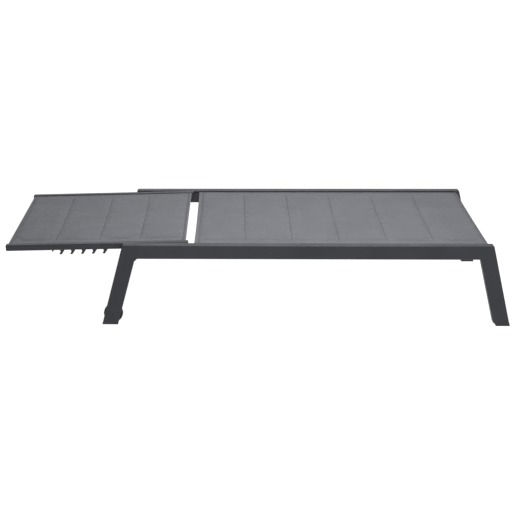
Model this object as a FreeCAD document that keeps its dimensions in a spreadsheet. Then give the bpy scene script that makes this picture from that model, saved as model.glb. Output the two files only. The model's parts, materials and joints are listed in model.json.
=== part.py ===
import FreeCAD, Part
import math
import os
import re

import Sketcher

# Reclining sun lounger in millimetres. +X runs from the head end to the foot end, +Y to the
# user's left, +Z up. The origin is on the floor under the middle of the lounger.
#
# Local frames of the sub-parts:
#   base parts   X measured from the head end of the side rails
#   back parts   origin on the recline hinge line, X towards the foot, with the back level
#   arm parts    the same frame as the back
#   wheel parts  origin on the axle, halfway across the wheel

DIMENSIONS = [
    ("overall_width", 650, "across the outer faces of the side rails"),
    ("rail_head_x", -520, "head end of the side rails, from the origin"),
    ("rail_length", 1403, "side rail with both corners"),
    ("rail_top", 335, "top of the side rails above the floor"),
    ("rail_depth", 56, "height of the rail section"),
    ("rail_width", 30, "width of the rail and leg section"),
    ("frame_wall", 2, "wall of rails and legs"),
    ("edge_radius", 3.5, "long edges of rails and legs"),
    ("corner_radius", 7, "corner from rail to leg, seen from the side"),
    ("leg_slope", 0.272, "sideways run of a leg per unit of height"),
    ("leg_width", 62, "level width of a leg, seen from the side"),
    ("gusset_run", 7, "gusset under the rail at the head legs"),
    ("gusset_drop", 10, "gusset down the head legs"),
    ("rail_groove_drop", 8, "keder groove axis below the top of a rail"),
    ("back_groove_drop", 4.5, "keder groove axis below the top of a back tube"),
    ("rail_groove_radius", 3.5, "keder groove in the rails"),
    ("back_groove_radius", 3, "keder groove in the back tubes"),
    ("groove_wall", 1.5, "wall around a keder groove"),
    ("groove_mouth", 2.6, "height of the mouth of a keder groove"),
    ("keder_clearance", 0.5, "keder rod below the radius of its groove"),
    ("head_glide_height", 6, "glide under a head leg"),
    ("foot_glide_height", 14, "glide under a foot leg"),
    ("glide_bevel_run", 8, "bevel at the inner side of a foot glide"),
    ("glide_bevel_rise", 12, "height of that bevel"),
    ("plug_wall", 2.5, "wall of the plug of a glide or cap"),
    ("plug_length", 14, "length of the plug of a glide or cap"),
    ("axle_x", -46.5, "wheel axle, from the head end of the rails"),
    ("axle_height", 44, "wheel axle above the floor"),
    ("axle_radius", 4, "wheel axle"),
    ("axle_head_radius", 7.5, "head of the axle"),
    ("axle_head_length", 2.5, "head of the axle"),
    ("wheel_radius", 37, "tread of the tyre"),
    ("hub_radius", 29, "seat of the tyre on the hub"),
    ("wheel_width", 19, "tyre"),
    ("tyre_shoulder_radius", 4, "rounded shoulders of the tyre"),
    ("hub_width", 20, "hub at the bore"),
    ("running_gap", 0.05, "radial clearance of a turning fit"),
    ("wheel_slot_radius", 41, "cut-out of a head leg around the wheel"),
    ("wheel_slot_width", 22, "width of that cut-out"),
    ("spacer_radius", 6.5, "spacer beside the hub"),
    ("side_gap", 3, "between a side rail and a back tube"),
    ("hinge_x", 234, "recline hinge, from the head end of the rails"),
    ("hinge_height", 305.5, "recline hinge above the floor"),
    ("back_droop", 1.4, "slope of the flat back, in degrees"),
    ("back_length", 688, "hinge line to the head end of the back"),
    ("back_tail", 16, "hinge line to the foot end of the back"),
    ("back_tube", 24, "side of the square back tubes"),
    ("back_tube_bottom", 7, "underside of the back tubes above the hinge line"),
    ("back_wall", 1.8, "wall of the back tubes"),
    ("back_tube_radius", 4.5, "long edges of the back tubes"),
    ("cap_length", 5, "visible length of a tube cap"),
    ("cap_radius", 4, "rounded end of a tube cap"),
    ("hinge_plate", 6, "thickness of a hinge plate"),
    ("hinge_plate_radius", 12, "round end of a hinge plate"),
    ("hinge_bolt_radius", 4, "hinge bolt and arm bolt"),
    ("bolt_head_radius", 6.5, "head of those bolts"),
    ("bolt_head_length", 5, "head of those bolts"),
    ("bolt_key_radius", 2.9, "hexagon socket, to its corners"),
    ("rivet_nut_radius", 5.5, "blind rivet nut"),
    ("rivet_nut_length", 14, "blind rivet nut"),
    ("rivet_bulge_radius", 7.4, "collar behind the wall"),
    ("washer_radius", 9, "plain bearing washer"),
    ("washer_play", 0.1, "axial play beside a washer"),
    ("head_bar_x", 7, "round head crossbar, from the head end of the rails"),
    ("head_bar_height", 292, "its axis above the floor"),
    ("head_bar_radius", 9.5, "its outside"),
    ("rest_sleeve_radius", 14.6, "rubber sleeve that the flat back rests on"),
    ("rest_sleeve_length", 20, "along the crossbar"),
    ("crossbar_length", 40, "seat crossbar along the lounger"),
    ("crossbar_depth", 20, "height of a seat crossbar"),
    ("crossbar_bottom", 282, "underside of the seat crossbars above the floor"),
    ("flange_length", 66, "end flange of a seat crossbar"),
    ("flange_depth", 26, "height of that flange"),
    ("flange_thickness", 4, "thickness of that flange"),
    ("screw_offset", 26.5, "flange screws from the middle of the crossbar"),
    ("screw_radius", 3, "flange screw"),
    ("screw_head_radius", 5.2, "flange screw"),
    ("screw_head_length", 3.3, "flange screw"),
    ("screw_key_radius", 2.2, "hexagon socket, to its corners"),
    ("screw_length", 14, "thread of a flange screw"),
    ("hinge_bar_x", 302, "seat crossbar beside the hinge"),
    ("middle_bar_x", 830, "seat crossbar in the middle"),
    ("foot_bar_x", 1325, "seat crossbar at the foot"),
    ("seat_start", 272, "head end of the seat sling, from the head end of the rails"),
    ("seat_end", 1390, "foot end of the seat sling"),
    ("seat_pad_width", 512, "quilted width of the seat sling"),
    ("back_sling_start", -682.5, "head end of the back sling, from the hinge line"),
    ("back_sling_end", 7, "foot end of the back sling"),
    ("back_pad_width", 486, "quilted width of the back sling"),
    ("pad_above", 5.5, "quilted pad above the groove axis"),
    ("pad_below", 4, "quilted pad below the groove axis"),
    ("web_thickness", 1.6, "single layer of sling fabric at the sides"),
    ("back_bar_length", 28, "back crossbar along the back"),
    ("back_bar_depth", 9, "height of a back crossbar"),
    ("back_bar_wall", 1.5, "wall of a back crossbar"),
    ("back_head_bar_x", -668, "head crossbar of the back, from the hinge line"),
    ("back_middle_bar_x", -144, "middle crossbar of the back"),
    ("back_lower_bar_x", -19, "lower crossbar of the back"),
    ("arm_pivot_x", -204, "pivot of the ratchet arms, from the hinge line"),
    ("arm_pivot_rise", 14.5, "that pivot above the hinge line"),
    ("arm_boss_radius", 8.5, "round end of an arm at the pivot"),
    ("arm_thickness", 5, "plate of an arm"),
    ("arm_washer", 2, "washer between an arm and its back tube"),
    ("arm_top", 18.5, "upper edge of an arm above the hinge line"),
    ("arm_root_bottom", 3.7, "lower edge of an arm over the head crossbar"),
    ("arm_bottom", 1.7, "lower edge of an arm between the teeth"),
    ("arm_root_end", -292, "where the lower edge steps down to the teeth"),
    ("arm_end_x", -522, "free end of an arm"),
    ("tooth_tip_x", -312.6, "tip of the first tooth"),
    ("tooth_pitch", 42.05, "from tooth to tooth"),
    ("tooth_count", 5, "teeth on an arm"),
    ("tooth_tip_z", -21, "tip of a tooth below the hinge line"),
    ("tooth_back", 5.7, "back of a tooth behind the middle of its tip"),
    ("tooth_front", 2.2, "flat tip in front of its middle"),
    ("tooth_bevel", 3, "bevel at both corners of the tip"),
    ("tooth_slant", 20.5, "foot of the sloping side in front of the middle of the tip"),
    ("seat_radius", 10, "hooked seat of a tooth"),
    ("seat_back", 11, "centre of the seat behind the middle of the tip"),
    ("seat_rise", 12.2, "centre of the seat above the tip"),
    ("stop_tip_x", -511.7, "tip of the end stop, from the hinge line"),
    ("stop_tip_z", -9.9, "that tip below the hinge line"),
    ("stop_back", 2.8, "back of the end stop behind its tip"),
    ("stop_slant", 8.7, "foot of its sloping side in front of the tip"),
    ("arm_corner", 4, "cut corners at the free end of an arm"),
    ("release_x", -513, "release bar, from the hinge line"),
    ("release_z", 10, "release bar above the hinge line"),
    ("release_radius", 4.5, "release bar"),
]

SIDES = (("left", 1), ("right", -1))
COLUMN_OF_NAMES = "A"
COLUMN_OF_VALUES = "B"

document = FreeCAD.newDocument("SunLounger")
sheet = document.addObject("Spreadsheet::Sheet", "Dimensions")
for row, (alias, value, meaning) in enumerate(DIMENSIONS, start=1):
    sheet.set(f"{COLUMN_OF_NAMES}{row}", meaning)
    sheet.set(f"{COLUMN_OF_VALUES}{row}", str(value))
    sheet.setAlias(f"{COLUMN_OF_VALUES}{row}", alias)
document.recompute()

ALIASES = {alias for alias, value, meaning in DIMENSIONS}
subparts = []


# ---------------------------------------------------------------- expressions and placement

def formula(text):
    """An expression in which each alias is read from the sheet."""
    return re.sub(r"[a-z_]+", lambda word: prefixed(word.group(0)), str(text))


def prefixed(word):
    return f"{sheet.Name}.{word}" if word in ALIASES else word


def bind(thing, **properties):
    """Bind properties to formulas; a double underscore in a name stands for a dot."""
    for name, text in properties.items():
        thing.setExpression(name.replace("__", "."), formula(text))


def place(thing, x="0", y="0", z="0"):
    bind(thing, Placement__Base__x=x, Placement__Base__y=y, Placement__Base__z=z)


def place_in_base(thing, x="0", y="0", z="0"):
    place(thing, f"rail_head_x + ({x})", y, z)


def place_in_back(thing, x="0", y="0", z="0"):
    """A place given in the level back's frame, turned with the back's droop about the hinge."""
    thing.Placement.Rotation = FreeCAD.Rotation(FreeCAD.Vector(0, -1, 0), 1)
    bind(thing, Placement__Rotation__Angle="back_droop")
    turned_x = f"({x}) * cos(back_droop * 1 deg) - ({z}) * sin(back_droop * 1 deg)"
    turned_z = f"({x}) * sin(back_droop * 1 deg) + ({z}) * cos(back_droop * 1 deg)"
    place(thing, f"rail_head_x + hinge_x + {turned_x}", y, f"hinge_height + {turned_z}")


def keep(thing, label):
    """Register a finished sub-part; its label is the name of its node."""
    thing.Label = label
    subparts.append(thing)
    return thing


# ---------------------------------------------------------------- PartDesign helpers

def new_body(name):
    return document.addObject("PartDesign::Body", name)


def origin_plane(body, role):
    return next(item for item in body.Origin.OriginFeatures if item.Role == role)


def new_sketch(body, role):
    sketch = body.newObject("Sketcher::SketchObject", "Sketch")
    sketch.AttachmentSupport = [(origin_plane(body, role), "")]
    sketch.MapMode = "FlatFace"
    return sketch


def fix_point(sketch, geometry, vertex, start, x, y):
    """Hold a sketch point at two formulas, measured from the sketch origin."""
    for kind, value, text in (("DistanceX", start.x, x), ("DistanceY", start.y, y)):
        constraint = Sketcher.Constraint(kind, -1, 1, geometry, vertex, value)
        index = sketch.addConstraint(constraint)
        sketch.setExpression(f"Constraints[{index}]", formula(text))


def polygon(body, role, corners):
    """A closed outline whose corners are pairs of formulas."""
    sketch = new_sketch(body, role)
    count = len(corners)
    turn = 2 * math.pi / count
    start_radius = 100
    start = [FreeCAD.Vector(math.cos(turn * i), math.sin(turn * i)) * start_radius for i in range(count)]
    for i in range(count):
        sketch.addGeometry(Part.LineSegment(start[i], start[(i + 1) % count]))
    for i in range(count):
        sketch.addConstraint(Sketcher.Constraint("Coincident", i, 2, (i + 1) % count, 1))
    for i, (x, y) in enumerate(corners):
        fix_point(sketch, i, 1, start[i], x, y)
    return sketch


def rectangle(body, role, low_x, low_y, high_x, high_y):
    corners = [(low_x, low_y), (high_x, low_y), (high_x, high_y), (low_x, high_y)]
    return polygon(body, role, corners)


def circle(body, role, x, y, radius):
    sketch = new_sketch(body, role)
    start = FreeCAD.Vector(1, 1, 0)
    sketch.addGeometry(Part.Circle(start, FreeCAD.Vector(0, 0, 1), 1))
    fix_point(sketch, 0, 3, start, x, y)
    index = sketch.addConstraint(Sketcher.Constraint("Radius", 0, 1))
    sketch.setExpression(f"Constraints[{index}]", formula(radius))
    return sketch


def extruded(body, kind, sketch, length, side="Symmetric", reversed_way=False):
    feature = body.newObject(kind, kind.split("::")[1])
    feature.Profile = sketch
    feature.SideType = side
    feature.Reversed = reversed_way
    bind(feature, Length=length)
    body.Tip = feature
    return feature


def pad(body, sketch, length, side="Symmetric", reversed_way=False):
    return extruded(body, "PartDesign::Pad", sketch, length, side, reversed_way)


def pocket(body, sketch, length, side="Symmetric", reversed_way=False):
    return extruded(body, "PartDesign::Pocket", sketch, length, side, reversed_way)


def repeat_along_x(body, feature, count, length):
    """Repeat a feature towards -X with the given overall length."""
    pattern = body.newObject("PartDesign::LinearPattern", "LinearPattern")
    pattern.Originals = [feature]
    axis = next(item for item in body.Origin.OriginFeatures if item.Role == "X_Axis")
    pattern.Direction = (axis, [""])
    pattern.Reversed = True
    bind(pattern, Length=length, Occurrences=count)
    body.Tip = pattern
    return pattern


def revolved(body, sketch):
    feature = body.newObject("PartDesign::Revolution", "Revolution")
    feature.Profile = sketch
    feature.ReferenceAxis = (sketch, ["H_Axis"])
    body.Tip = feature
    return feature


def round_edges(body, chosen, radius):
    """Fillet the edges of the present solid for which chosen(edge) is true."""
    document.recompute()
    base = body.Tip
    names = [f"Edge{i}" for i, edge in enumerate(base.Shape.Edges, start=1) if chosen(edge)]
    feature = body.newObject("PartDesign::Fillet", "Fillet")
    feature.Base = (base, names)
    bind(feature, Radius=radius)
    body.Tip = feature
    return feature


def runs_along(edge, direction):
    """True for a straight edge parallel to a direction."""
    if not isinstance(edge.Curve, Part.Line):
        return False
    return abs(edge.Curve.Direction.dot(direction)) > 0.999


X_AXIS = FreeCAD.Vector(1, 0, 0)
Y_AXIS = FreeCAD.Vector(0, 1, 0)


def size(alias):
    """The present value of an alias, for choosing edges."""
    return float(sheet.get(alias))


# ---------------------------------------------------------------- primitive helpers

def cylinder_along_y(radius, length, x, y, z):
    """A cylinder that starts at y and runs along +Y."""
    rod = document.addObject("Part::Cylinder", "Cylinder")
    bind(rod, Radius=radius, Height=length)
    place(rod, x, y, z)
    rod.Placement.Rotation = FreeCAD.Rotation(FreeCAD.Vector(-1, 0, 0), 90)
    return rod


def fused(*shapes):
    union = document.addObject("Part::MultiFuse", "Fusion")
    union.Shapes = list(shapes)
    union.Refine = True
    return union


def cut(base, tool):
    difference = document.addObject("Part::Cut", "Cut")
    difference.Base = base
    difference.Tool = tool
    return difference


def group(shapes):
    """Separate solids that share one node."""
    compound = document.addObject("Part::Compound", "Compound")
    compound.Links = list(shapes)
    return compound


def ring_along_y(outer, inner, length, x, y, z):
    """A washer, spacer or sleeve that starts at y and runs along +Y."""
    outside = cylinder_along_y(outer, length, x, y, z)
    bore = cylinder_along_y(inner, length, x, y, z)
    return cut(outside, bore)


def span_from(side, near, far):
    """Lower end and length, along Y, of a piece between two distances from the middle."""
    low = near if side > 0 else f"-({far})"
    return low, f"({far}) - ({near})"


def headed_fastener(side, x, z, seat_y, sizes):
    """A socket-headed bolt or screw: its head lies inboard of seat_y, its shank runs outward."""
    shank_radius, shank_length, head_radius, head_length, key_radius = sizes
    head_low, head_span = span_from(side, f"({seat_y}) - ({head_length})", seat_y)
    shank_low, shank_span = span_from(side, seat_y, f"({seat_y}) + ({shank_length})")
    head = cylinder_along_y(head_radius, head_span, x, head_low, z)
    shank = cylinder_along_y(shank_radius, shank_span, x, shank_low, z)
    key = document.addObject("Part::Prism", "Prism")
    key.Polygon = 6
    bind(key, Circumradius=key_radius, Height=f"({head_length}) * 0.6")
    key_low, key_span = span_from(side, f"({seat_y}) - ({head_length})",
                                  f"({seat_y}) - 0.4 * ({head_length})")
    place(key, x, key_low, z)
    key.Placement.Rotation = FreeCAD.Rotation(FreeCAD.Vector(-1, 0, 0), 90)
    return cut(fused(head, shank), key)


# ---------------------------------------------------------------- formulas shared by parts

RAIL_MIDDLE = "(overall_width / 2 - rail_width / 2)"
RAIL_INNER = "(overall_width / 2 - rail_width)"
BACK_OUTER = f"({RAIL_INNER} - side_gap)"
BACK_INNER = f"({BACK_OUTER} - back_tube)"
CORNER_LENGTH = "(leg_width - leg_slope * rail_depth)"
RAIL_GROOVE_Z = "(rail_top - rail_groove_drop)"
BACK_TOP = "(back_tube_bottom + back_tube)"
BACK_GROOVE_Z = f"({BACK_TOP} - back_groove_drop)"
HINGE_BORE = "(hinge_bolt_radius + running_gap)"
HINGE_SIZES = ("hinge_bolt_radius", f"{RAIL_INNER} + rivet_nut_length - {BACK_OUTER} + hinge_plate - 1",
               "bolt_head_radius", "bolt_head_length", "bolt_key_radius")


def outer_edge(height):
    """Level distance of a leg's outer edge from its top corner, inward positive."""
    return f"(-leg_slope * (rail_top - ({height})))"


# ---------------------------------------------------------------- frame of the base

def hollow_with_groove(body, width, depth, wall, groove_radius, groove_drop, inner_side, length):
    """Hollow a bar under the XY plane along X and give its inner face a keder groove."""
    half = f"({width}) / 2"
    through = f"2 * ({length}) + 2 * ({depth})"
    hollow = rectangle(body, "YZ_Plane", f"-{half} + {wall}", f"-({depth}) + {wall}",
                       f"{half} - {wall}", f"-({wall})")
    pocket(body, hollow, through)
    sleeve_radius = f"({groove_radius} + groove_wall)"
    groove_y = f"{inner_side} * ({half} - {sleeve_radius})"
    sleeve = circle(body, "YZ_Plane", groove_y, f"-({groove_drop})", sleeve_radius)
    pad(body, sleeve, length, "One side")
    bore = circle(body, "YZ_Plane", groove_y, f"-({groove_drop})", groove_radius)
    pocket(body, bore, through)
    mouth = rectangle(body, "YZ_Plane", groove_y, f"-({groove_drop}) - groove_mouth / 2",
                      f"{inner_side} * ({half} + 1)", f"-({groove_drop}) + groove_mouth / 2")
    pocket(body, mouth, through)


def is_long_rail_edge(edge):
    """The edges between the side faces and the top and bottom of a rail."""
    on_side = all(abs(abs(vertex.Y) - size("rail_width") / 2) < 0.01 for vertex in edge.Vertexes)
    near_top = edge.BoundBox.ZMin > -size("corner_radius") - 0.01
    return on_side and (runs_along(edge, X_AXIS) or near_top)


def side_rail(name, side):
    """The rail section between two mitres; its upper corners are rounded like the legs'."""
    body = new_body(f"side_rail_{name}")
    spread = "leg_slope * rail_depth"
    outline = [
        ("0", "0"),
        ("rail_length", "0"),
        (f"rail_length + {spread}", "-rail_depth"),
        (f"-{spread}", "-rail_depth"),
    ]
    pad(body, polygon(body, "XZ_Plane", outline), "rail_width")
    round_edges(body, lambda edge: runs_along(edge, Y_AXIS) and abs(edge.BoundBox.ZMax) < 0.01,
                "corner_radius")
    round_edges(body, is_long_rail_edge, "edge_radius")
    hollow_with_groove(body, "rail_width", "rail_depth", "frame_wall", "rail_groove_radius",
                       "rail_groove_drop", -side, "rail_length")
    for end_x, inward in (("0", 1), ("rail_length", -1)):
        mitre = [
            (f"{end_x} - {inward} * {CORNER_LENGTH} / 4", "rail_depth / 4"),
            (f"{end_x} + {inward} * {CORNER_LENGTH} * 5 / 4", "-rail_depth * 5 / 4"),
            (f"{end_x} - {inward} * {CORNER_LENGTH}", "-rail_depth * 5 / 4"),
            (f"{end_x} - {inward} * {CORNER_LENGTH}", "rail_depth / 4"),
        ]
        pocket(body, polygon(body, "XZ_Plane", mitre), "rail_width + 2")
    nut_hole = circle(body, "XZ_Plane", "hinge_x", "hinge_height - rail_top", "rivet_nut_radius")
    pocket(body, nut_hole, "rail_width / 2 + 1", "One side", side > 0)
    for bar_x in ("hinge_bar_x", "middle_bar_x", "foot_bar_x"):
        for way in (-1, 1):
            screw_hole = circle(body, "XZ_Plane", f"{bar_x} + {way} * screw_offset",
                                "crossbar_bottom + crossbar_depth / 2 - rail_top", "screw_radius")
            pocket(body, screw_hole, "rail_width / 2 + 1", "One side", side > 0)
    place_in_base(body, "0", f"{side} * {RAIL_MIDDLE}", "rail_top")
    keep(body, f"side_rail_{name}")


def leg_outline(inward, foot_height, gusset):
    """Corners of a leg that still has the whole corner; its mitre is cut afterwards."""
    def at(x, z):
        return (f"{inward} * ({x})", z)
    rail_bottom = "rail_top - rail_depth"
    under_rail = [at(CORNER_LENGTH, rail_bottom)]
    if gusset:
        gusset_foot = "rail_top - rail_depth - gusset_drop"
        under_rail.append(at(f"{CORNER_LENGTH} + gusset_run", rail_bottom))
        under_rail.append(at(f"leg_width + {outer_edge(gusset_foot)}", gusset_foot))
    return [
        at("0", "rail_top"),
        at(CORNER_LENGTH, "rail_top"),
        *under_rail,
        at(f"leg_width + {outer_edge(foot_height)}", foot_height),
        at(outer_edge(foot_height), foot_height),
    ]


def leg_cavity(inward, foot_height):
    """Corners of a leg's hollow, open at the foot and towards the rail."""
    wall_run = "frame_wall * sqrt(1 + leg_slope ^ 2)"
    top = "rail_top - frame_wall"
    ledge = "rail_top - rail_depth + frame_wall"
    below = f"{foot_height} - 1"
    corners = [
        (f"{wall_run} + {outer_edge(top)}", top),
        (f"{CORNER_LENGTH} + 1", top),
        (f"{CORNER_LENGTH} + 1", ledge),
        (f"leg_width - {wall_run} + {outer_edge(ledge)}", ledge),
        (f"leg_width - {wall_run} + {outer_edge(below)}", below),
        (f"{wall_run} + {outer_edge(below)}", below),
    ]
    return [(f"{inward} * ({x})", z) for x, z in corners]


def is_long_leg_edge(edge):
    """The edges between the side faces and the outer, top and inner faces of a leg."""
    on_side = all(abs(abs(vertex.Y) - size("rail_width") / 2) < 0.01 for vertex in edge.Vertexes)
    tall = edge.BoundBox.ZLength > size("rail_top") / 2
    on_top = edge.BoundBox.ZMin > size("rail_top") - size("corner_radius") - 0.01
    return on_side and (tall or on_top) and edge.BoundBox.XLength > 1


def leg(name, side, end):
    """end is "head" or "foot"; a head leg is a fork around its wheel."""
    is_head = end == "head"
    inward = 1 if is_head else -1
    foot_height = "head_glide_height" if is_head else "foot_glide_height"
    body = new_body(f"{end}_leg_{name}")
    pad(body, polygon(body, "XZ_Plane", leg_outline(inward, foot_height, is_head)), "rail_width")
    round_edges(body, lambda edge: runs_along(edge, Y_AXIS) and abs(edge.Vertexes[0].X) < 0.01
                and edge.Vertexes[0].Z > size("rail_top") - 1, "corner_radius")
    round_edges(body, is_long_leg_edge, "edge_radius")
    pocket(body, polygon(body, "XZ_Plane", leg_cavity(inward, foot_height)), "rail_width - 2 * frame_wall")
    above_mitre = [
        (f"-{inward} * {CORNER_LENGTH} / 4", "rail_top + rail_depth / 4"),
        (f"{inward} * {CORNER_LENGTH}", "rail_top - rail_depth"),
        (f"{inward} * ({CORNER_LENGTH} + gusset_run + 1)", "rail_top - rail_depth"),
        (f"{inward} * ({CORNER_LENGTH} + gusset_run + 1)", "rail_top + rail_depth / 4"),
    ]
    pocket(body, polygon(body, "XZ_Plane", above_mitre), "rail_width + 2")
    if is_head:
        wheel_slot = circle(body, "XZ_Plane", "axle_x", "axle_height", "wheel_slot_radius")
        pocket(body, wheel_slot, "wheel_slot_width")
        axle_hole = circle(body, "XZ_Plane", "axle_x", "axle_height", "axle_radius")
        pocket(body, axle_hole, "rail_width + 2")
    place_in_base(body, "0" if is_head else "rail_length", f"{side} * {RAIL_MIDDLE}")
    keep(body, f"{end}_leg_{name}")


def head_glide(name, side):
    """A glide with two lips inside the leg, open where the wheel passes."""
    body = new_body(f"head_glide_{name}")
    outline = [
        (outer_edge("0"), "0"),
        (f"leg_width + {outer_edge('0')}", "0"),
        (f"leg_width + {outer_edge('head_glide_height')}", "head_glide_height"),
        (outer_edge("head_glide_height"), "head_glide_height"),
    ]
    pad(body, polygon(body, "XZ_Plane", outline), "rail_width")
    lip = rectangle(body, "XZ_Plane", "axle_x - plug_length", "head_glide_height - 1",
                    "axle_x + plug_length / 2", "head_glide_height + plug_length / 2")
    pad(body, lip, "rail_width - 2 * frame_wall")
    wheel_room = rectangle(body, "XZ_Plane", "axle_x - wheel_slot_radius / 2 - 1", "-1",
                           "axle_x + wheel_slot_radius", "head_glide_height + plug_length")
    pocket(body, wheel_room, "wheel_slot_width")
    place_in_base(body, "0", f"{side} * {RAIL_MIDDLE}")
    keep(body, f"head_glide_{name}")


def foot_glide(name, side):
    """A bevelled glide with a hollow plug inside the leg."""
    body = new_body(f"foot_glide_{name}")
    height = "foot_glide_height"
    inner_foot = f"-(leg_width + {outer_edge('0')})"
    outline = [
        (f"-{outer_edge('0')}", "0"),
        (f"-{outer_edge(height)}", height),
        (f"-(leg_width + {outer_edge(height)})", height),
        (f"{inner_foot} + 0.5", "glide_bevel_rise"),
        (f"{inner_foot} + glide_bevel_run", "0"),
    ]
    pad(body, polygon(body, "XZ_Plane", outline), "rail_width")
    gap = "(frame_wall + 0.2)"
    plug_top = f"({height} + plug_length)"
    plug = [
        (f"-(leg_width - {gap} + {outer_edge(height)})", height),
        (f"-({gap} + {outer_edge(height)})", height),
        (f"-({gap} + {outer_edge(plug_top)})", plug_top),
        (f"-(leg_width - {gap} + {outer_edge(plug_top)})", plug_top),
    ]
    pad(body, polygon(body, "XZ_Plane", plug), f"rail_width - 2 * {gap}")
    core = "(frame_wall + plug_wall)"
    hollow = [
        (f"-(leg_width - {core} + {outer_edge(height)})", height),
        (f"-({core} + {outer_edge(height)})", height),
        (f"-({core} + {outer_edge(plug_top)})", f"{plug_top} + 1"),
        (f"-(leg_width - {core} + {outer_edge(plug_top)})", f"{plug_top} + 1"),
    ]
    pocket(body, polygon(body, "XZ_Plane", hollow), f"rail_width - 2 * {core}")
    place_in_base(body, "rail_length", f"{side} * {RAIL_MIDDLE}")
    keep(body, f"foot_glide_{name}")


def head_crossbar():
    """Round tube between the head legs that the flat back and the ratchet arms rest on."""
    bar = ring_along_y("head_bar_radius", "head_bar_radius - frame_wall", f"2 * {RAIL_INNER}",
                       "rail_head_x + head_bar_x", f"-{RAIL_INNER}", "head_bar_height")
    keep(bar, "head_crossbar")


def rest_sleeves():
    """Rubber sleeves on the head crossbar under the two back tubes."""
    middle = f"({BACK_OUTER} - back_tube / 2)"
    sleeves = []
    for name, side in SIDES:
        low, span = span_from(side, f"{middle} - rest_sleeve_length / 2",
                              f"{middle} + rest_sleeve_length / 2")
        sleeves.append(ring_along_y("rest_sleeve_radius", "head_bar_radius", span,
                                    "rail_head_x + head_bar_x", low, "head_bar_height"))
    keep(group(sleeves), "back_rest_sleeves")


def seat_crossbar(label, bar_x):
    """A rectangular tube with a welded flange at each end."""
    body = new_body(label)
    flange_low = "crossbar_depth / 2 - flange_depth / 2"
    clear_half = f"({RAIL_INNER} - flange_thickness)"
    outline = rectangle(body, "XZ_Plane", "-crossbar_length / 2", "0",
                        "crossbar_length / 2", "crossbar_depth")
    pad(body, outline, f"2 * {clear_half} + 1")
    round_edges(body, lambda edge: runs_along(edge, Y_AXIS), "edge_radius")
    hollow = rectangle(body, "XZ_Plane", "-crossbar_length / 2 + frame_wall", "frame_wall",
                       "crossbar_length / 2 - frame_wall", "crossbar_depth - frame_wall")
    pocket(body, hollow, f"2 * {RAIL_INNER}")
    for name, side in SIDES:
        near = f"{side} * {clear_half}"
        far = f"{side} * {RAIL_INNER}"
        flange = rectangle(body, "YZ_Plane", near, flange_low, far, f"{flange_low} + flange_depth")
        pad(body, flange, "flange_length")
    for way in (-1, 1):
        hole = circle(body, "XZ_Plane", f"{way} * screw_offset", "crossbar_depth / 2", "screw_radius")
        pocket(body, hole, f"2 * {RAIL_INNER} + 2")
    place_in_base(body, bar_x, "0", "crossbar_bottom")
    keep(body, label)


def crossbar_screws():
    """Socket screws that hold the flanges of the three seat crossbars to the rails."""
    sizes = ("screw_radius", "screw_length", "screw_head_radius", "screw_head_length", "screw_key_radius")
    screws = []
    for bar_x in ("hinge_bar_x", "middle_bar_x", "foot_bar_x"):
        for name, side in SIDES:
            for way in (-1, 1):
                screws.append(headed_fastener(side, f"rail_head_x + {bar_x} + {way} * screw_offset",
                                              "crossbar_bottom + crossbar_depth / 2",
                                              f"{RAIL_INNER} - flange_thickness", sizes))
    keep(group(screws), "crossbar_screws")


# ---------------------------------------------------------------- slings and keder rods

def sling(label, pad_width, inner_half, length):
    """A quilted pad with a single web at each side that reaches the keder rod."""
    body = new_body(label)
    pad_half = f"({pad_width}) / 2"
    web = "web_thickness / 2"
    reach = f"({inner_half} + groove_wall / 2)"
    outline = [
        (f"-{reach}", f"-{web}"),
        (f"-{pad_half}", f"-{web}"),
        (f"-{pad_half}", "-pad_below"),
        (pad_half, "-pad_below"),
        (pad_half, f"-{web}"),
        (reach, f"-{web}"),
        (reach, web),
        (pad_half, web),
        (pad_half, "pad_above"),
        (f"-{pad_half}", "pad_above"),
        (f"-{pad_half}", web),
        (f"-{reach}", web),
    ]
    pad(body, polygon(body, "YZ_Plane", outline), length, "One side")
    return body


def seat_sling():
    body = sling("seat_sling", "seat_pad_width", RAIL_INNER, "seat_end - seat_start")
    place_in_base(body, "seat_start", "0", RAIL_GROOVE_Z)
    keep(body, "seat_sling")


def back_sling():
    body = sling("back_sling", "back_pad_width", BACK_INNER, "back_sling_end - back_sling_start")
    place_in_back(body, "back_sling_start", "0", BACK_GROOVE_Z)
    keep(body, "back_sling")


def seat_keder(name, side):
    body = new_body(f"seat_keder_{name}")
    rod = circle(body, "YZ_Plane", "0", "0", "rail_groove_radius - keder_clearance")
    pad(body, rod, "seat_end - seat_start", "One side")
    groove_y = f"({RAIL_INNER} + rail_groove_radius + groove_wall)"
    place_in_base(body, "seat_start", f"{side} * {groove_y}", RAIL_GROOVE_Z)
    keep(body, f"seat_keder_{name}")


def back_keder(name, side):
    body = new_body(f"back_keder_{name}")
    rod = circle(body, "YZ_Plane", "0", "0", "back_groove_radius - keder_clearance")
    pad(body, rod, "back_sling_end - back_sling_start", "One side")
    groove_y = f"({BACK_INNER} + back_groove_radius + groove_wall)"
    place_in_back(body, "back_sling_start", f"{side} * {groove_y}", BACK_GROOVE_Z)
    keep(body, f"back_keder_{name}")


# ---------------------------------------------------------------- frame of the back

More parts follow.
